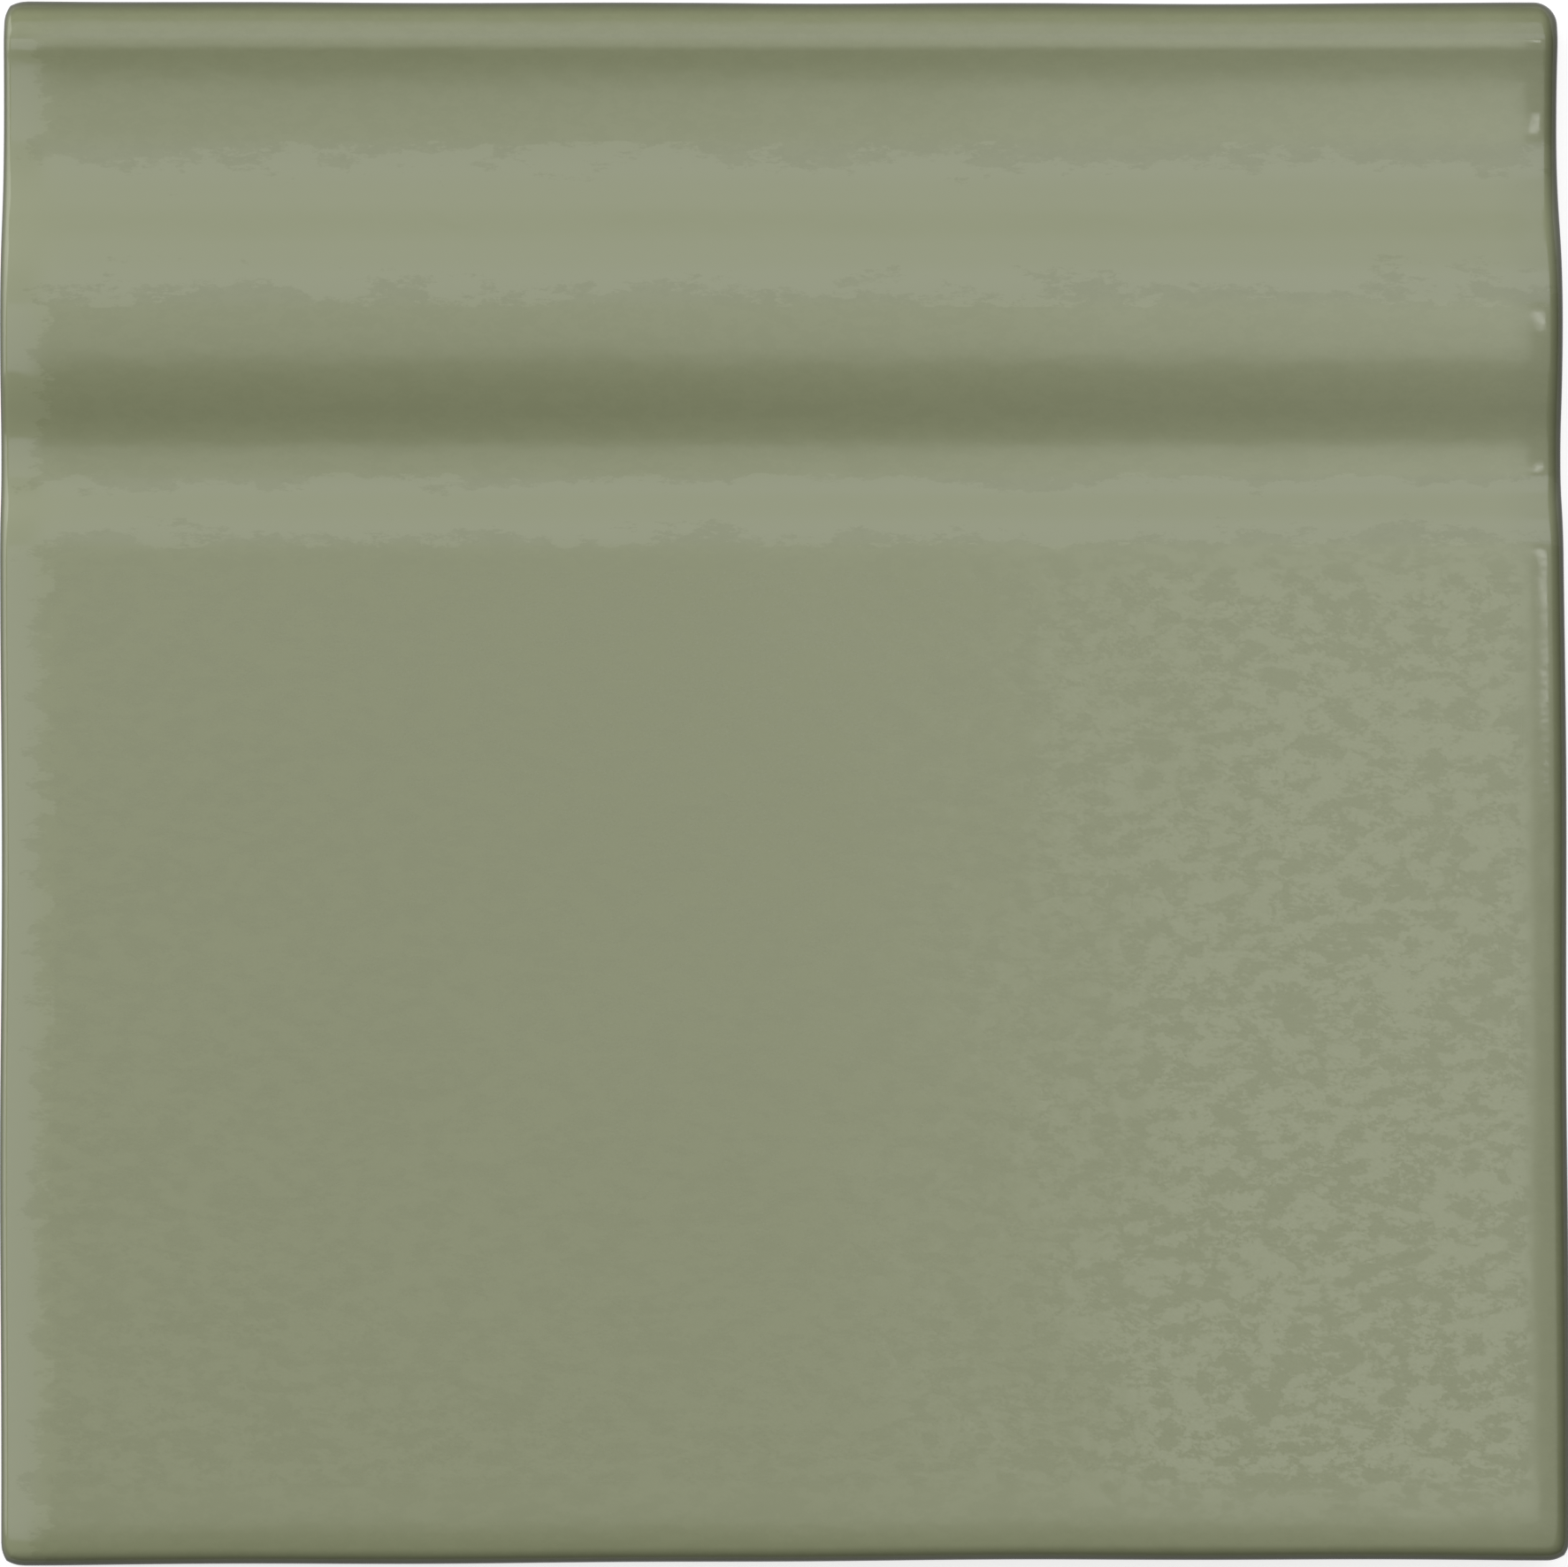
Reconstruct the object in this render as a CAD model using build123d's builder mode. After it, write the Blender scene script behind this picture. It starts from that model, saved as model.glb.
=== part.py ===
"""Skirting tile: one pressed and glazed ceramic piece, lying on its keyed back with the face up.

X runs along the wall, +Y points to the moulded top edge, -Y to the edge that stands on the floor,
and +Z points out of the face. The origin is at the middle of the back. Sizes are in millimetres.
"""

import os
from math import asin, atan2, degrees, radians, sin

from build123d import *

# Outline
tile_width = 148.0  # along the wall
tile_height = 148.0  # from the floor edge to the top edge
plan_corner_radius = 1.9  # the four corners, seen from the front
arris_radius = 1.6  # where the glazed face turns into the walls

# Thickness at each crest and hollow of the moulding, measured from the back
bead_thickness = 7.7
cove_thickness = 6.6
roll_thickness = 11.8
quirk_thickness = 9.5
face_thickness = 11.4

# Widths of the moulding's members, from the top edge downwards
nose_width = 3.75  # top edge to the bead's crest
cove_width = 8.45  # bead's crest to the bottom of the cove
roll_rise_width = 18.3  # bottom of the cove to the roll's crest
roll_fall_width = 14.0  # roll's crest to the bottom of the quirk
quirk_rise_width = 8.7  # bottom of the quirk to the plain face

# Where each member turns from its first arc to its second, as a share of its width
cove_turn = 0.11
roll_rise_turn = 0.50
roll_fall_turn = 0.58
quirk_rise_turn = 0.41

# Nose: a tight arc from the bead's crest, then a flatter one that runs out at the top edge
bead_radius = 2.4
bead_turn = 22.0  # degrees
nose_radius = 8.0

# Cushioned edges: how far in the face starts to bend, and how far it has dropped at the wall
foot_cushion_width = 5.3  # floor edge
foot_cushion_drop = 0.53
end_cushion_width = 6.5  # left and right ends
end_cushion_drop = 0.6

# Keyed back: shallow pockets that grip the adhesive, between ribs and inside a plain rim
back_bevel = 0.8  # round the back's outer edge
key_size = 18.5
key_depth = 0.8
key_draft = 30.0  # slope of the pockets' walls, in degrees from upright
key_corner_radius = 2.0
rib_width = 4.0
rim_width = 6.0

# Cushions are swept this much further round than they need, and the body this much deeper,
# and then trimmed
overrun = 1.1
trim_allowance = 1.0

top_edge = tile_height / 2
foot_edge = -tile_height / 2
right_end = tile_width / 2
towards_top = (1, 0)
towards_foot = (-1, 0)
wall_limit = 0.01  # a face whose normal rises less than this is a wall


def bend(width, drop):
    """Radius and turn, in degrees, of an arc that starts level and has bent by drop at width."""
    turn = 2 * atan2(drop, width)
    return width / sin(abs(turn)), degrees(turn)


def ogee(start, width, fall, share):
    """Two tangent arcs, towards the foot, that leave level and arrive level, fall lower down."""
    radius, turn = bend(width, fall)
    first = JernArc(start, towards_foot, radius * share, turn)
    second = JernArc(first @ 1, first % 1, radius * (1 - share), -turn)
    return second @ 1


def fit_count(span):
    """How many pockets, with a rib between each two, fit between the rims."""
    return int((span - 2 * rim_width + rib_width) // (key_size + rib_width))


# The line that the section follows across the tile: level, and bending down at both ends
end_radius, end_turn = bend(end_cushion_width, end_cushion_drop)
level_end = right_end - end_cushion_width
with BuildLine(Plane.XZ) as crossing:
    JernArc((-level_end, 0), (-1, 0), end_radius, overrun * end_turn)
    Line((-level_end, 0), (level_end, 0))
    JernArc((level_end, 0), (1, 0), end_radius, -overrun * end_turn)

leftmost = crossing.vertices().sort_by(Axis.X)[0]
start_plane = Plane(origin=leftmost.center(), x_dir=(0, 1, 0), z_dir=(1, 0, 0))

with BuildPart() as skirting_tile:
    # Moulded section, drawn where the line across the tile starts
    with BuildSketch(start_plane) as section:
        with BuildLine() as outline:
            bead_crest = (top_edge - nose_width, bead_thickness)
            bead = JernArc(bead_crest, towards_top, bead_radius, -bead_turn)
            edge_sine = sin(radians(bead_turn)) + (top_edge - (bead @ 1).X) / nose_radius
            nose_turn = degrees(asin(edge_sine)) - bead_turn
            nose = JernArc(bead @ 1, bead % 1, nose_radius, -overrun * nose_turn)
            cove = ogee(bead_crest, cove_width, bead_thickness - cove_thickness, cove_turn)
            roll = ogee(cove, roll_rise_width, cove_thickness - roll_thickness, roll_rise_turn)
            quirk = ogee(roll, roll_fall_width, roll_thickness - quirk_thickness, roll_fall_turn)
            face_start = ogee(quirk, quirk_rise_width, quirk_thickness - face_thickness, quirk_rise_turn)
            face = Line(face_start, (foot_edge + foot_cushion_width, face_thickness))
            foot_radius, foot_turn = bend(foot_cushion_width, foot_cushion_drop)
            foot = JernArc(face @ 1, towards_foot, foot_radius, overrun * foot_turn)
            Polyline(
                foot @ 1,
                ((foot @ 1).X, -trim_allowance),
                ((nose @ 1).X, -trim_allowance),
                nose @ 1,
            )
        make_face()
    sweep(path=crossing.line, normal=(1, 0, 0))

    # The blank cuts the back flat and trims the walls, rounded at the four corners
    with BuildSketch(Plane.XY) as blank:
        RectangleRounded(tile_width, tile_height, plan_corner_radius)
    extrude(
        amount=max(bead_thickness, roll_thickness, face_thickness) + trim_allowance,
        mode=Mode.INTERSECT,
    )

    # Soft arris all round the glazed face
    walls = skirting_tile.faces().filter_by(lambda wall: abs(wall.normal_at().Z) < wall_limit)
    back = skirting_tile.faces().sort_by(Axis.Z)[0]
    fillet(walls.edges() - walls.edges().filter_by(Axis.Z) - back.edges(), arris_radius)

    # Bevel round the back
    chamfer(skirting_tile.faces().sort_by(Axis.Z)[0].edges(), back_bevel)

    # Keyed back
    key_pitch = key_size + rib_width
    with BuildSketch(Plane.XY) as keys:
        with GridLocations(key_pitch, key_pitch, fit_count(tile_width), fit_count(tile_height)):
            RectangleRounded(key_size, key_size, key_corner_radius)
    extrude(amount=key_depth, taper=key_draft, mode=Mode.SUBTRACT)

skirting_tile.part.label = "skirting_tile"
os.makedirs("parts", exist_ok=True)
export_step(skirting_tile.part, "parts/skirting_tile.step")
print("skirting_tile", skirting_tile.part.bounding_box().size, skirting_tile.part.volume)
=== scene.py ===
import bpy
import numpy as np
from mathutils import Matrix, Quaternion, Vector


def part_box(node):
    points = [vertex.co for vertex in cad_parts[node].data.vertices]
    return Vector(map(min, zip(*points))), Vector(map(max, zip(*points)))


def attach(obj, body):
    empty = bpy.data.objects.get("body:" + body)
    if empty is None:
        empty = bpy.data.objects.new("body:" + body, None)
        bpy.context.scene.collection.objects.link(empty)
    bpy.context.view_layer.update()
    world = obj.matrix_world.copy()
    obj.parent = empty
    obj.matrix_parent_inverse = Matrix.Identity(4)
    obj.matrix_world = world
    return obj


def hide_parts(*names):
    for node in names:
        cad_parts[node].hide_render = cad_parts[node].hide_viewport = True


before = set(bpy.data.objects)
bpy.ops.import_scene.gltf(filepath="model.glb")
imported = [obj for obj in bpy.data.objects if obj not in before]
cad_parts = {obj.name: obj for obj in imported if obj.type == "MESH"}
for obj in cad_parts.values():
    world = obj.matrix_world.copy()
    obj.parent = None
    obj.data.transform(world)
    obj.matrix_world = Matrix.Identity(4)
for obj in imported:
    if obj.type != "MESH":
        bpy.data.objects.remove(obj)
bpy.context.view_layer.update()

mm = 0.001
cadLow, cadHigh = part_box("skirting_tile")
halfWide, halfTall = [(high - low) / 2 / mm for low, high in zip(cadLow[:2], cadHigh[:2])]
print("frame loaded, tile", round(2 * halfWide, 2), "x", round(2 * halfTall, 2), "mm")

# The tile: one pressed and glazed piece, moulded along its top edge.
# Millimetres and degrees, heights above the back.
tile = {
    "beadHeight": 7.7,
    # from the bead's crest to the top edge: a tight arc, then a flatter one
    "nose": {"width": 3.9, "tightRadius": 2.4, "tightTurn": 22.0, "flatRadius": 8.0},
    # from the bead downwards: width, height it arrives at, share of its first arc, straight between its arcs
    "members": [
        (8.45, 6.6, 0.11, 0.0),  # into the cove
        (18.3, 11.8, 0.50, 2.5),  # up on to the roll
        (14.0, 9.5, 0.63, 0.0),  # into the quirk
        (8.7, 11.4, 0.41, 0.0),  # up on to the plain face
    ],
    "foot": (4.3, 0.43),  # cushioned floor edge: width, drop at the wall
    "ends": (6.5, 0.6),  # cushioned left and right ends
    # soft edge all round the face
    "arrisWidth": {"left": 0.8, "right": 1.6, "foot": 1.6, "top": 0.45},
    "arrisDrop": {"left": 0.9, "right": 1.36, "foot": 1.36, "top": 0.62},
    "corner": 2.2,  # zone of each plan corner
    "cornerRoundness": (0.75, 0.8, 0.75, 1.0),  # foot left, foot right, top left, top right; 1 is a quarter circle
    "bevel": 0.8,  # round the back
    "keySize": 18.5, "keyPitch": 22.5, "keyCount": 6,  # pockets in the back
    "keyDepth": 0.8, "keyDraft": 30.0, "keyCorner": 2.0,
    "warpLength": (14.0, 38.0), "warpHeight": 0.012, "warpCount": 14,  # slow unevenness of a pressed face
    # the outline strays from straight in slow waves, which fade out strayReach from the edge
    "strayHeight": 0.06, "strayReach": 12.0, "strayLength": (30.0, 120.0), "strayCount": 5,
    "strayApart": 300.0,  # opposite edges take their waves this far either side of the middle
    "flare": {"top": 0.3, "foot": 0.12}, "flarePower": 6,  # how far these edges stand out at their two ends
    "seed": 11,
    # painted shade: a dark line along the very edge, how sharply it fades, and how far it goes down the walls
    "edgeShadeWidth": {"left": 0.7, "right": 1.6, "foot": 1.3, "top": 1.5}, "edgeShadePower": 1.5, "edgeShadeDepth": 2.0,
    "rimWidth": (3.0, 4.5),  # glaze is smooth this near the left and right ends, and no longer so this far in
    "footEven": (3.0, 9.0), "mouldingEven": (50.0, 56.0),  # even this near the foot and top edge, blotched this far in
    # painted highlight: paler glaze colour on parts that lean to the top or left, towards the lamps: slope at the
    # middle of its border, and that border's width
    "highlightSlope": {"up": (8.5, 75.0), "left": (4.2, 30.0)},
    "highlightGate": (0.1, 0.4),  # shares of that slope at which the painted highlight may start, and is let through in full
    "slopeStep": 0.1,  # slopes are taken over this length each way
    # spacing of the mesh lines on the moulding and elsewhere, lines across an arris, rows down the walls
    "fineStep": 0.55, "plainStep": 1.5, "arrisLines": 12, "wallLevels": 6,
    "noseLines": {"arris": (0.03, 0.12, 0.3, 0.6), "nose": (0.76, 0.84, 0.92)},  # extra ones, in shares of their widths
    "keyCornerLine": 0.45,  # and one on each pocket's rounded corners
}


def bendDrop(reach, width, drop):
    # an arc that leaves level and has fallen by drop at width:
    # r - sqrt(r^2 - reach^2), where r = (width^2 + drop^2) / (2 drop)
    radius = (width ** 2 + drop ** 2) / (2 * drop)
    return radius - np.sqrt(radius ** 2 - np.clip(reach, 0, width) ** 2)


def ogeeFall(reach, width, fall, share, straight):
    # two arcs that leave and arrive level, joined by a straight: both turn by 2 atan(fall / (width + straight)),
    # and their radii share (width - straight cos(turn)) / sin(turn);
    # the second is the first one's curve seen from the other end
    turn = 2 * np.arctan2(abs(fall), width + straight)
    radius = (width - straight * np.cos(turn)) / np.sin(turn)
    reach = np.clip(reach, 0, width)
    first, second = radius * share, radius * (1 - share)
    leaving = first - np.sqrt(first ** 2 - np.minimum(reach, first * np.sin(turn)) ** 2)
    leaving += np.tan(turn) * np.clip(reach - first * np.sin(turn), 0, straight * np.cos(turn))
    arriving = second - np.sqrt(second ** 2 - np.minimum(width - reach, second * np.sin(turn)) ** 2)
    return np.sign(fall) * np.where(reach < width - second * np.sin(turn), leaving, abs(fall) - arriving)


def noseDrop(reach):
    # a tight arc from the bead's crest, then a flatter one that carries on from it: each falls by
    # radius x (cos of the slope it starts at - cos of its slope there), and sin of the slope grows by reach / radius
    nose = tile["nose"]
    tight, flat, turn = nose["tightRadius"], nose["flatRadius"], np.radians(nose["tightTurn"])
    reach = np.clip(reach, 0, nose["width"])
    inTight = np.minimum(reach, tight * np.sin(turn))
    flatSine = np.sin(turn) + (reach - inTight) / flat
    return tight * (1 - np.sqrt(1 - (inTight / tight) ** 2)) + flat * (np.cos(turn) - np.sqrt(1 - flatSine ** 2))


def faceHeight(x, y):
    # height of the glazed face: the moulded section along y, less the arcs that bend it down at foot and ends
    fromTop = halfTall - y
    start, level = tile["nose"]["width"], tile["beadHeight"]
    height = level - noseDrop(start - fromTop)
    for width, arrival, share, straight in tile["members"]:
        height = height - ogeeFall(fromTop - start, width, level - arrival, share, straight)
        start, level = start + width, arrival
    footWidth, footDrop = tile["foot"]
    endWidth, endDrop = tile["ends"]
    height = height - bendDrop(footWidth - (halfTall + y), footWidth, footDrop)
    return height - bendDrop(endWidth - (halfWide - np.abs(x)), endWidth, endDrop)


def keyRun():
    # how far a pocket's sloping wall reaches inwards: depth x tan(draft)
    return tile["keyDepth"] * np.tan(np.radians(tile["keyDraft"]))


def keyDepthAt(x, y):
    # depth of the pockets in the back: distance inside a rounded square, divided by the run of its sloping wall
    middle = (tile["keyCount"] - 1) / 2
    places = [np.clip(np.round(v / tile["keyPitch"] + middle), 0, 2 * middle) - middle for v in (x, y)]
    straight = tile["keySize"] / 2 - tile["keyCorner"]
    overX, overY = [np.abs(v - tile["keyPitch"] * place) - straight for v, place in zip((x, y), places)]
    outside = np.hypot(np.maximum(overX, 0), np.maximum(overY, 0)) + np.minimum(np.maximum(overX, overY), 0)
    return tile["keyDepth"] * np.clip((tile["keyCorner"] - outside) / keyRun(), 0, 1)


def slowWaves(x, y, lengths, count, seed):
    # sum of plane waves of random direction, length and phase, times sqrt(2 / count), so that its spread is about 1
    dice = np.random.default_rng(seed)
    turns = dice.uniform(0, np.pi, count)
    spans = dice.uniform(*lengths, count)
    phases = dice.uniform(0, 2 * np.pi, count)
    total = np.zeros_like(x)
    for turn, span, phase in zip(turns, spans, phases):
        total += np.sin(2 * np.pi * (x * np.cos(turn) + y * np.sin(turn)) / span + phase)
    return total * np.sqrt(2 / count)


def meshLines(marks, fineFrom):
    # lines through every mark, each gap shared out evenly in parts no longer than its step
    marks = np.unique(np.round(marks, 4))
    steps = np.where(marks[1:] > fineFrom, tile["fineStep"], tile["plainStep"])
    parts = np.ceil(np.diff(marks) / steps - 1e-6).astype(int)
    runs = [np.linspace(a, b, n, endpoint=False) for a, b, n in zip(marks[:-1], marks[1:], parts)]
    return np.concatenate(runs + [marks[-1:]])


def gridLines():
    # the x and y lines of face and back: close together on the arris and the nose, through the ends of each
    # member of the moulding, and through the edges of every pocket
    arris = tile["arrisWidth"]["right"] * (1 - np.cos(np.linspace(0, np.pi / 2, tile["arrisLines"])))
    insets = np.append(arris, [tile["bevel"], tile["corner"]])
    noseWidth = tile["nose"]["width"]
    noseMarks = halfTall - np.append(tile["arrisWidth"]["top"] * np.array(tile["noseLines"]["arris"]),
                                     noseWidth * np.array(tile["noseLines"]["nose"]))
    keyInsets = np.array([0, keyRun(), tile["keyCornerLine"] * tile["keyCorner"], tile["keyCorner"]])
    keyEdges = tile["keySize"] / 2 - keyInsets
    keyMiddles = tile["keyPitch"] * (np.arange(tile["keyCount"]) - (tile["keyCount"] - 1) / 2)
    keyMarks = (keyMiddles[:, None] + np.append(keyEdges, -keyEdges)).ravel()
    memberMarks = halfTall - np.cumsum([noseWidth] + [member[0] for member in tile["members"]])
    footMark = tile["foot"][0] - halfTall
    endMark = halfWide - tile["ends"][0]
    xMarks = np.concatenate([insets - halfWide, halfWide - insets, [-endMark, endMark], keyMarks])
    yMarks = np.concatenate([insets - halfTall, halfTall - insets, noseMarks, memberMarks, [footMark], keyMarks])
    return meshLines(xMarks, endMark), meshLines(yMarks, memberMarks[-1])


def roundCorners(x, y):
    # in each corner square a point goes to the distance max(a, b) from the corner's centre, at 45 degrees x min / max,
    # so that square rings turn into round ones; also returns the distance from the outline and the way it faces
    zone = tile["corner"]
    a = np.clip((np.abs(x) - halfWide) / zone + 1, 0, 1)
    b = np.clip((np.abs(y) - halfTall) / zone + 1, 0, 1)
    far, near = np.maximum(a, b), np.minimum(a, b)
    lean = np.pi / 4 * near / np.maximum(far, 1e-9)
    facing = np.where(a >= b, lean, np.pi / 2 - lean)
    roundness = np.array(tile["cornerRoundness"])[(x > 0) + 2 * (y > 0)] * ((a > 0) & (b > 0))
    newA = a + roundness * (far * np.cos(facing) - a)
    newB = b + roundness * (far * np.sin(facing) - b)
    return x + np.sign(x) * zone * (newA - a), y + np.sign(y) * zone * (newB - b), zone * (1 - far), facing


def sideWidths(widths, x, y, facing):
    # each point takes its own edges' widths, in shares cos^2 and sin^2 of the way its outline faces
    across = np.where(x > 0, widths["right"], widths["left"])
    along = np.where(y > 0, widths["top"], widths["foot"])
    return across * np.cos(facing) ** 2 + along * np.sin(facing) ** 2


def paintedHighlightMask(x, y):
    # painted highlight: paler glaze colour standing in for the lamps' light on slopes that face the top or left
    # one half where the face leans to the top or left by the border's slope, more where it is steeper;
    # none on level parts or on the nose
    step = tile["slopeStep"]
    paintedHighlight = np.zeros_like(x)
    for side, dx, dy in (("up", 0, step), ("left", -step, 0)):
        fall = faceHeight(x - dx, y - dy) - faceHeight(x + dx, y + dy)
        lean = np.degrees(np.arctan(fall / (2 * step)))
        border, spread = tile["highlightSlope"][side]
        gate = np.interp(lean, [share * border for share in tile["highlightGate"]], (0, 1))
        paintedHighlight = np.maximum(paintedHighlight, np.clip(0.5 + (lean - border) / spread, 0, 1) * gate)
    return paintedHighlight * (halfTall - y > tile["nose"]["width"])


def strayOutline(x, y):
    # each edge is pushed by its own slow wave, by (1 - distance / reach)^2 of it;
    # top and foot also flare by (x / half width)^power
    pushX = np.clip(1 - (halfWide - np.abs(x)) / tile["strayReach"], 0, 1) ** 2 * np.sign(x)
    pushY = np.clip(1 - (halfTall - np.abs(y)) / tile["strayReach"], 0, 1) ** 2 * np.sign(y)
    apart, lengths, count = tile["strayApart"], tile["strayLength"], tile["strayCount"]
    strayX = slowWaves(y + apart * np.sign(x), np.zeros_like(y), lengths, count, tile["seed"] + 1)
    strayY = slowWaves(x + apart * np.sign(y), np.zeros_like(x), lengths, count, tile["seed"] + 2)
    flare = np.where(y > 0, tile["flare"]["top"], tile["flare"]["foot"]) * (x / halfWide) ** tile["flarePower"]
    return x + tile["strayHeight"] * pushX * strayX, y + pushY * (tile["strayHeight"] * strayY + flare)


def tileSurface():
    # face and back share one grid of lines, and the walls join their outer rings;
    # the face is the moulded height, less a quarter ellipse at the arris, plus slow waves
    xLines, yLines = gridLines()
    x, y, inset, facing = roundCorners(*np.meshgrid(xLines, yLines))
    within = np.clip(1 - inset / sideWidths(tile["arrisWidth"], x, y, facing), 0, 1)
    arris = sideWidths(tile["arrisDrop"], x, y, facing) * (1 - np.sqrt(1 - within ** 2))
    warp = tile["warpHeight"] * slowWaves(x, y, tile["warpLength"], tile["warpCount"], tile["seed"])
    top = faceHeight(x, y) - arris + warp
    bottom = np.maximum(keyDepthAt(x, y), tile["bevel"] - inset)

    # what the glaze does at each point, with painted shade along the edge and a painted highlight on slopes facing the
    # top or left
    # painted shade: darkest at the outline, gone by its width in from the edge
    fromEdge = inset / sideWidths(tile["edgeShadeWidth"], x, y, facing)
    edgeShade = np.clip(1 - fromEdge, 0, 1) ** tile["edgeShadePower"]
    rim = np.interp(halfWide - np.abs(x), tile["rimWidth"], (1, 0))
    even = np.maximum(np.interp(halfTall + y, tile["footEven"], (1, 0)),
                      np.interp(halfTall - y, tile["mouldingEven"], (1, 0)))
    paintedHighlight = paintedHighlightMask(x, y)

    x, y = strayOutline(x, y)
    number = np.arange(x.size).reshape(x.shape)
    ring = np.concatenate([number[0, :-1], number[:-1, -1], number[-1, :0:-1], number[:0:-1, 0]])
    face = np.stack([x, y, top], -1).reshape(-1, 3)
    back = np.stack([x, y, bottom], -1).reshape(-1, 3)
    share = np.linspace(0, 1, tile["wallLevels"] + 2)[1:-1, None, None]
    walls = (face[ring] * (1 - share) + back[ring] * share).reshape(-1, 3)
    # the painted shade fades out down the walls
    fallen = face[ring, 2] - walls[:, 2].reshape(-1, len(ring))
    wallEdgeShade = np.clip(1 - fallen / tile["edgeShadeDepth"], 0, 1)
    notFace = np.ones(number.size + len(walls))
    marks = {
        "edgeShade": np.concatenate([edgeShade.ravel(), np.zeros(number.size), wallEdgeShade.ravel()]),
        "rim": np.append(rim.ravel(), notFace),
        "even": np.append(even.ravel(), notFace),
        "paintedHighlight": np.concatenate([paintedHighlight.ravel(), np.zeros(number.size), np.tile(paintedHighlight.ravel()[ring], tile["wallLevels"])]),
    }

    quads = np.stack([number[:-1, :-1], number[:-1, 1:], number[1:, 1:], number[1:, :-1]], -1).reshape(-1, 4)
    wallNumbers = 2 * number.size + np.arange(len(walls)).reshape(-1, len(ring))
    levels = np.vstack([ring, wallNumbers, ring + number.size])
    following = np.roll(levels, -1, axis=1)
    wallQuads = np.stack([levels[:-1], levels[1:], following[1:], following[:-1]], -1).reshape(-1, 4)
    return np.vstack([face, back, walls]) * mm, np.vstack([quads, quads[:, ::-1] + number.size, wallQuads]), marks


creaseAngle = 32.0  # degrees


def makePiece(name, points, quads, marks, material):
    # numpy points and quads into a smooth mesh object at the origin, sharp where it turns by more than creaseAngle;
    # marks are values per point that its material reads
    mesh = bpy.data.meshes.new(name)
    mesh.vertices.add(len(points))
    mesh.vertices.foreach_set("co", points.ravel())
    mesh.loops.add(quads.size)
    mesh.loops.foreach_set("vertex_index", quads.ravel())
    mesh.polygons.add(len(quads))
    mesh.polygons.foreach_set("loop_start", np.arange(0, quads.size, 4))
    mesh.polygons.foreach_set("use_smooth", np.ones(len(quads), dtype=bool))
    mesh.update(calc_edges=True)
    mesh.validate()
    mesh.set_sharp_from_angle(angle=np.radians(creaseAngle))
    for mark, values in marks.items():
        mesh.attributes.new(mark, "FLOAT", "POINT").data.foreach_set("value", values)
    mesh.materials.append(material)
    piece = bpy.data.objects.new(name, mesh)
    bpy.context.collection.objects.link(piece)
    return piece


def fromHex(code):
    # sRGB hex to linear: value / 12.92 below 0.04045, else ((value + 0.055) / 1.055) ^ 2.4
    values = np.array([int(code[i:i + 2], 16) for i in (1, 3, 5)]) / 255
    return (*np.where(values < 0.04045, values / 12.92, ((values + 0.055) / 1.055) ** 2.4), 1.0)


def newMaterial(name):
    # a material with an empty node tree
    material = bpy.data.materials.new(name)
    material.use_nodes = True
    material.node_tree.nodes.clear()
    return material, material.node_tree


def addNode(tree, kind, inputs, **settings):
    # one shader node: its settings, then each socket gets a value or the socket that feeds it
    node = tree.nodes.new(kind)
    for name, value in settings.items():
        setattr(node, name, value)
    for key, value in inputs.items():
        if isinstance(value, bpy.types.NodeSocket):
            tree.links.new(value, node.inputs[key])
        else:
            node.inputs[key].default_value = value
    return node


def perMetre(size):
    # noise scale whose lumps are about size millimetres across: 1 / size in metres
    return 1 / (size * mm)


# Satin glaze over a pressed clay body. Millimetres and sRGB colours.
glaze = {
    "body": "#8e9370", "deep": "#8a8f6c",
    "paintedHighlight": "#939876", "edgeShadeColour": "#22240f",  # painted highlight where the face leans to the top or left, and painted shade at the very edge
    "cloudSize": 32.0, "cloudShare": 0.5,  # slow clouds of tone; the blotches give the other share
    "blotchSize": 1.7, "blotchDrawn": 1.6,  # blotches of shinier glaze, drawn out along the tile by this factor
    "blotchBorder": (0.48, 0.52),  # noise levels between which a blotch starts
    "highlightEdgeSize": 3.6, "highlightEdgeDrawn": 2.2,  # the ragged border of the painted highlight, drawn out along the tile
    "highlightEdgeBorder": (0.98, 1.02),  # sums of noise and the painted highlight's share between which it starts
    "blotchRoughness": 0.12, "betweenRoughness": 0.29,  # on the plain face
    "rimRoughness": 0.12, "evenRoughness": 0.22,  # near the ends; near the foot and on the moulding
    "peelSize": 1.3, "peelHeight": 0.014, "rippleSize": 8.0, "rippleHeight": 0.05,
    "ior": 1.55, "shine": 0.5, "edgeShadeShine": 0.05,  # less reflection in the painted edge shade, to keep it dark
    # where the glaze stops on the walls, above the back: height, wander either way, size of its lumps, softness
    "line": 3.0, "lineWander": 1.8, "lineLump": 7.0, "lineSoftness": 0.1,
    "clay": "#cdbfa6", "clayDark": "#b9a98e", "clayRoughness": 0.9, "clayGrain": 0.5, "clayGrainHeight": 0.05,
}


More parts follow.
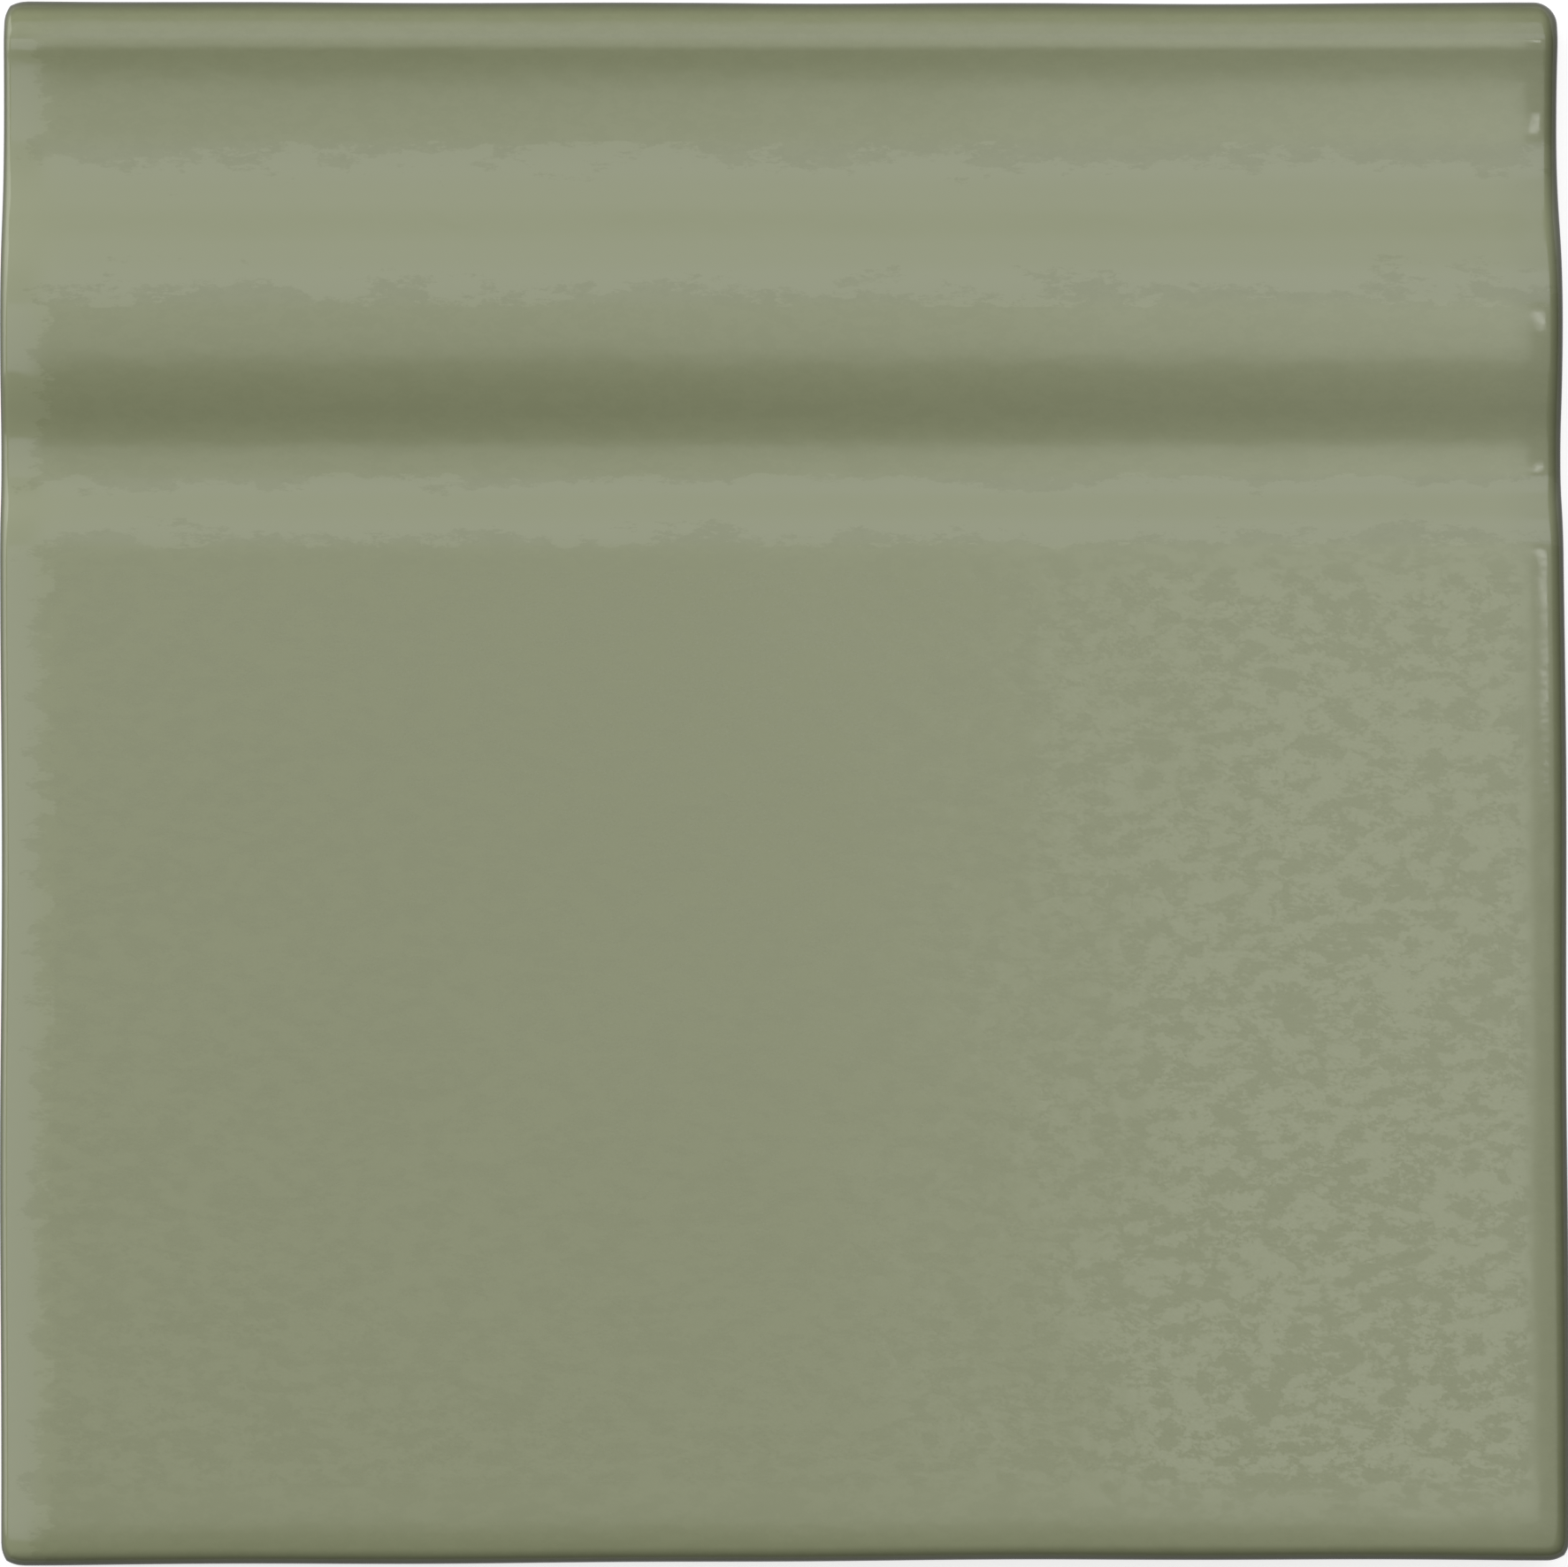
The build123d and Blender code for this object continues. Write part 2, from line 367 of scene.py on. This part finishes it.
def satinSageGlaze():
    # dipped and fired satin glaze: a soft sheen with ragged blotches of shinier glaze drawn along the tile, slow clouds
    # of tone and a faint orange peel; below the glaze line and on the back the clay is bare: pale, dry, finely grained
    material, tree = newMaterial("satin_glaze_over_pressed_clay")
    spot = addNode(tree, "ShaderNodeTexCoord", {}).outputs["Object"]
    drawn = addNode(tree, "ShaderNodeMapping", {
        "Vector": spot, "Scale": (1 / glaze["blotchDrawn"], 1, 1)}).outputs["Vector"]
    along = addNode(tree, "ShaderNodeMapping", {
        "Vector": spot, "Scale": (1 / glaze["highlightEdgeDrawn"], 1, 1)}).outputs["Vector"]
    cloud = addNode(tree, "ShaderNodeTexNoise", {
        "Vector": spot, "Scale": perMetre(glaze["cloudSize"]), "Detail": 3.0}).outputs["Fac"]
    blotch = addNode(tree, "ShaderNodeTexNoise", {
        "Vector": drawn, "Scale": perMetre(glaze["blotchSize"]), "Detail": 8.0, "Roughness": 0.8}).outputs["Fac"]
    highlightEdgeNoise = addNode(tree, "ShaderNodeTexNoise", {
        "Vector": along, "Scale": perMetre(glaze["highlightEdgeSize"]), "Detail": 7.0, "Roughness": 0.75}).outputs["Fac"]
    peel = addNode(tree, "ShaderNodeTexNoise", {
        "Vector": drawn, "Scale": perMetre(glaze["peelSize"]), "Detail": 1.0}).outputs["Fac"]
    ripple = addNode(tree, "ShaderNodeTexNoise", {
        "Vector": drawn, "Scale": perMetre(glaze["rippleSize"]), "Detail": 1.0}).outputs["Fac"]
    grain = addNode(tree, "ShaderNodeTexNoise", {
        "Vector": spot, "Scale": perMetre(glaze["clayGrain"]), "Detail": 3.0}).outputs["Fac"]
    lineLumps = addNode(tree, "ShaderNodeTexNoise", {
        "Vector": spot, "Scale": perMetre(glaze["lineLump"]), "Detail": 2.0}).outputs["Fac"]
    edgeShade, rim, even, highlightShare = [addNode(tree, "ShaderNodeAttribute", {}, attribute_name=mark).outputs["Fac"]
                                   for mark in ("edgeShade", "rim", "even", "paintedHighlight")]

    # glazed or bare: height above the back, wandering, against the glaze line
    height = addNode(tree, "ShaderNodeSeparateXYZ", {"Vector": spot}).outputs["Z"]
    wander = addNode(tree, "ShaderNodeMath", {
        0: lineLumps, 1: 2 * glaze["lineWander"] * mm, 2: height}, operation="MULTIPLY_ADD").outputs[0]
    line = (glaze["line"] + glaze["lineWander"]) * mm
    glazed = addNode(tree, "ShaderNodeMapRange", {
        "Value": wander, "From Min": line - glaze["lineSoftness"] * mm,
        "From Max": line + glaze["lineSoftness"] * mm}).outputs["Result"]

    # colour: clouds and blotches, a painted highlight paler where the face leans to the top or left, painted shade dark
    # along the very edge, then clay below the glaze line
    shiny = addNode(tree, "ShaderNodeMapRange", {
        "Value": blotch, "From Min": glaze["blotchBorder"][0], "From Max": glaze["blotchBorder"][1]}).outputs["Result"]
    toneSpread = addNode(tree, "ShaderNodeMix", {0: 1 - glaze["cloudShare"], 2: cloud, 3: shiny}).outputs[0]
    tone = addNode(tree, "ShaderNodeMix", {
        0: toneSpread, 6: fromHex(glaze["deep"]), 7: fromHex(glaze["body"])}, data_type="RGBA").outputs[2]
    # painted highlight with a ragged border
    highlightEdgeSum = addNode(tree, "ShaderNodeMath", {0: highlightEdgeNoise, 1: highlightShare}, operation="ADD").outputs[0]
    paintedHighlight = addNode(tree, "ShaderNodeMapRange", {
        "Value": highlightEdgeSum, "From Min": glaze["highlightEdgeBorder"][0], "From Max": glaze["highlightEdgeBorder"][1]}).outputs["Result"]
    toneWithHighlight = addNode(tree, "ShaderNodeMix", {0: paintedHighlight, 6: tone, 7: fromHex(glaze["paintedHighlight"])}, data_type="RGBA").outputs[2]
    # painted shade: near black along the very edge
    glazeColour = addNode(tree, "ShaderNodeMix", {
        0: edgeShade, 6: toneWithHighlight, 7: fromHex(glaze["edgeShadeColour"])}, data_type="RGBA").outputs[2]
    clayColour = addNode(tree, "ShaderNodeMix", {
        0: grain, 6: fromHex(glaze["clayDark"]), 7: fromHex(glaze["clay"])}, data_type="RGBA").outputs[2]
    colour = addNode(tree, "ShaderNodeMix", {0: glazed, 6: clayColour, 7: glazeColour}, data_type="RGBA").outputs[2]

    # sheen: blotched on the plain face, even near the foot and on the moulding, smooth near the ends
    blotched = addNode(tree, "ShaderNodeMix", {
        0: shiny, 2: glaze["betweenRoughness"], 3: glaze["blotchRoughness"]}).outputs[0]
    moulded = addNode(tree, "ShaderNodeMix", {0: even, 2: blotched, 3: glaze["evenRoughness"]}).outputs[0]
    sheen = addNode(tree, "ShaderNodeMix", {0: rim, 2: moulded, 3: glaze["rimRoughness"]}).outputs[0]
    rough = addNode(tree, "ShaderNodeMix", {0: glazed, 2: glaze["clayRoughness"], 3: sheen}).outputs[0]
    # reflection turned down with the painted edge shade
    level = addNode(tree, "ShaderNodeMix", {0: edgeShade, 2: glaze["shine"], 3: glaze["edgeShadeShine"]}).outputs[0]

    # relief: orange peel on slow ripples, or the clay's grain
    lumps = addNode(tree, "ShaderNodeMath", {
        0: peel, 1: glaze["peelHeight"] * mm}, operation="MULTIPLY").outputs[0]
    swell = addNode(tree, "ShaderNodeMath", {
        0: ripple, 1: glaze["rippleHeight"] * mm, 2: lumps}, operation="MULTIPLY_ADD").outputs[0]
    grit = addNode(tree, "ShaderNodeMath", {
        0: grain, 1: glaze["clayGrainHeight"] * mm}, operation="MULTIPLY").outputs[0]
    relief = addNode(tree, "ShaderNodeMix", {0: glazed, 2: grit, 3: swell}).outputs[0]
    normal = addNode(tree, "ShaderNodeBump", {"Height": relief, "Distance": 1.0, "Strength": 1.0}).outputs["Normal"]

    shader = addNode(tree, "ShaderNodeBsdfPrincipled", {
        "Base Color": colour, "Roughness": rough, "IOR": glaze["ior"],
        "Specular IOR Level": level, "Normal": normal})
    addNode(tree, "ShaderNodeOutputMaterial", {"Surface": shader.outputs["BSDF"]})
    return material


points, quads, marks = tileSurface()
skirtingTile = makePiece("glazed_skirting_tile", points, quads, marks, satinSageGlaze())
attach(skirtingTile, "root")
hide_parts("skirting_tile")
print("tile surface:", len(points), "points,", 2 * len(quads), "triangles")

# Floor: a white board, large enough for low views. Half its side in metres, grain in millimetres.
floor = {
    "halfSide": 4.0,
    "colour": "#bcbcba", "bounce": "#9a9a98",  # as it is seen, and for the light that it throws back
    "glowColour": "#ffffff", "glow": 0.7,
    "grain": 3.0, "grainHeight": 0.02, "roughness": 0.7,
}


def whiteFloor():
    # matt white paint rolled on board, with a faint stipple; seen directly or in a reflection it glows, so that it is
    # close to white and still takes the shadow, and it throws less light back on to the walls
    material, tree = newMaterial("matt_painted_board")
    spot = addNode(tree, "ShaderNodeTexCoord", {}).outputs["Object"]
    stipple = addNode(tree, "ShaderNodeTexNoise", {"Vector": spot, "Scale": perMetre(floor["grain"])}).outputs["Fac"]
    normal = addNode(tree, "ShaderNodeBump", {
        "Height": stipple, "Distance": floor["grainHeight"] * mm}).outputs["Normal"]
    path = addNode(tree, "ShaderNodeLightPath", {}).outputs
    mirrored = addNode(tree, "ShaderNodeMath", {
        0: path["Is Glossy Ray"], 1: path["Is Transmission Ray"]}, operation="MAXIMUM").outputs[0]
    seen = addNode(tree, "ShaderNodeMath", {0: path["Is Camera Ray"], 1: mirrored}, operation="MAXIMUM").outputs[0]
    colour = addNode(tree, "ShaderNodeMix", {
        0: seen, 6: fromHex(floor["bounce"]), 7: fromHex(floor["colour"])}, data_type="RGBA").outputs[2]
    glow = addNode(tree, "ShaderNodeMath", {0: seen, 1: floor["glow"]}, operation="MULTIPLY").outputs[0]
    shader = addNode(tree, "ShaderNodeBsdfPrincipled", {
        "Base Color": colour, "Roughness": floor["roughness"], "Normal": normal,
        "Emission Color": fromHex(floor["glowColour"]), "Emission Strength": glow})
    addNode(tree, "ShaderNodeOutputMaterial", {"Surface": shader.outputs["BSDF"]})
    return material


half = floor["halfSide"]
corners = np.array([[-half, -half, 0], [half, -half, 0], [half, half, 0], [-half, half, 0]])
board = makePiece("floor", corners, np.array([[0, 1, 2, 3]]), {}, whiteFloor())
print("floor", 2 * half, "m wide")

# Softboxes hung level, lampHeight above the floor, each from one corner to the other (metres, x and y);
# glow is the radiance of a lamp's face, where 1 would show as white
lampHeight = 1.5
softboxes = {
    "overhead_right": {"low": (0.11, -0.26), "high": (0.50, 0.16), "glow": 2.35, "tint": "#fbfef5"},
    "overhead_middle": {"low": (-0.42, -0.26), "high": (0.11, 0.44), "glow": 1.22, "tint": "#fbfef5"},
    "upper_right": {"low": (0.11, 0.16), "high": (0.50, 0.44), "glow": 2.4, "tint": "#fbfef5"},
    "right": {"low": (0.50, -0.40), "high": (1.20, 0.44), "glow": 0.72, "tint": "#ffffff"},
    "front_right": {"low": (0.11, -1.20), "high": (0.90, -0.26), "glow": 0.45, "tint": "#ffffff"},
    "back_right": {"low": (0.11, 0.44), "high": (1.20, 1.20), "glow": 1.8, "tint": "#f0efff"},
    "back_middle": {"low": (-0.42, 0.44), "high": (0.11, 1.20), "glow": 1.5, "tint": "#f0efff"},
    "back_left": {"low": (-1.2, 0.44), "high": (-0.42, 1.20), "glow": 0.8, "tint": "#f0efff"},
    "back_far": {"low": (-0.42, 1.20), "high": (1.2, 3.15), "glow": 1.2, "tint": "#f0efff"},
    "back_far_left": {"low": (-1.7, 1.20), "high": (-0.42, 3.15), "glow": 0.9, "tint": "#f0efff"},
    "left": {"low": (-1.2, -0.40), "high": (-0.42, 0.44), "glow": 1.4, "tint": "#f0efff"},
}
# Lamps on stands: degrees from +X towards +Y and from straight up, metres
stands = {
    "upper_left": {
        "azimuth": 155, "polar": 70, "distance": 2.5, "size": (3.2, 1.8), "glow": 2.55, "tint": "#ffffff"},
    "small_right": {
        "azimuth": 17, "polar": 23.4, "distance": 1.55, "size": (0.2, 0.08), "glow": 5.0, "tint": "#ffffff"},
}
room = {"colour": "#ffffff", "glow": 0.11}  # faint light from all round


def hangLamp(name, size, lamp, place, turn):
    # an area lamp that shines along its own -Z; power = glow x pi x area
    light = bpy.data.lights.new(name, "AREA")
    light.shape = "RECTANGLE"
    light.size, light.size_y = size
    light.color = fromHex(lamp["tint"])[:3]
    light.energy = lamp["glow"] * np.pi * size[0] * size[1]
    holder = bpy.data.objects.new(name, light)
    holder.location = place
    holder.rotation_mode = "QUATERNION"
    holder.rotation_quaternion = turn
    holder.visible_camera = False
    bpy.context.collection.objects.link(holder)


for name, box in softboxes.items():
    (x0, y0), (x1, y1) = box["low"], box["high"]
    hangLamp(name, (x1 - x0, y1 - y0), box, ((x0 + x1) / 2, (y0 + y1) / 2, lampHeight), Quaternion())
for name, stand in stands.items():
    azimuth, polar = np.radians([stand["azimuth"], stand["polar"]])
    away = Vector((np.cos(azimuth) * np.sin(polar), np.sin(azimuth) * np.sin(polar), np.cos(polar)))
    hangLamp(name, stand["size"], stand, away * stand["distance"], away.to_track_quat("Z", "Y"))

world = bpy.data.worlds.new("studio")
world.use_nodes = True
world.node_tree.nodes["Background"].inputs["Color"].default_value = fromHex(room["colour"])
world.node_tree.nodes["Background"].inputs["Strength"].default_value = room["glow"]
bpy.context.scene.world = world
print("lit by", len(softboxes) + len(stands), "lamps")

# Camera: almost straight above the face, a little to the left of the middle and towards the foot.
# Millimetres, roll in radians, focal length and image width in pixels.
view = {
    "place": (-19.8, -25.8, 821.9), "aim": (-0.1, -0.58, 9.0), "roll": -0.0023,
    "focalPixels": 9722.5, "imageWidth": 1773, "clip": (10.0, 50000.0),
}
lens = bpy.data.cameras.new("camera")
lens.sensor_fit = "HORIZONTAL"
lens.lens = lens.sensor_width * view["focalPixels"] / view["imageWidth"]
lens.clip_start, lens.clip_end = [distance * mm for distance in view["clip"]]
camera = bpy.data.objects.new("camera", lens)
sight = (Vector(view["place"]) - Vector(view["aim"])).normalized()
right = Vector((0, 1, 0)).cross(sight).normalized()
turned = Matrix((right, sight.cross(right), sight)).transposed() @ Matrix.Rotation(view["roll"], 3, "Z")
camera.matrix_world = Matrix.Translation(Vector(view["place"]) * mm) @ turned.to_4x4()
bpy.context.collection.objects.link(camera)
bpy.context.scene.camera = camera
bpy.context.scene.view_settings.view_transform = "Standard"
print("camera", round(lens.lens, 1), "mm lens")
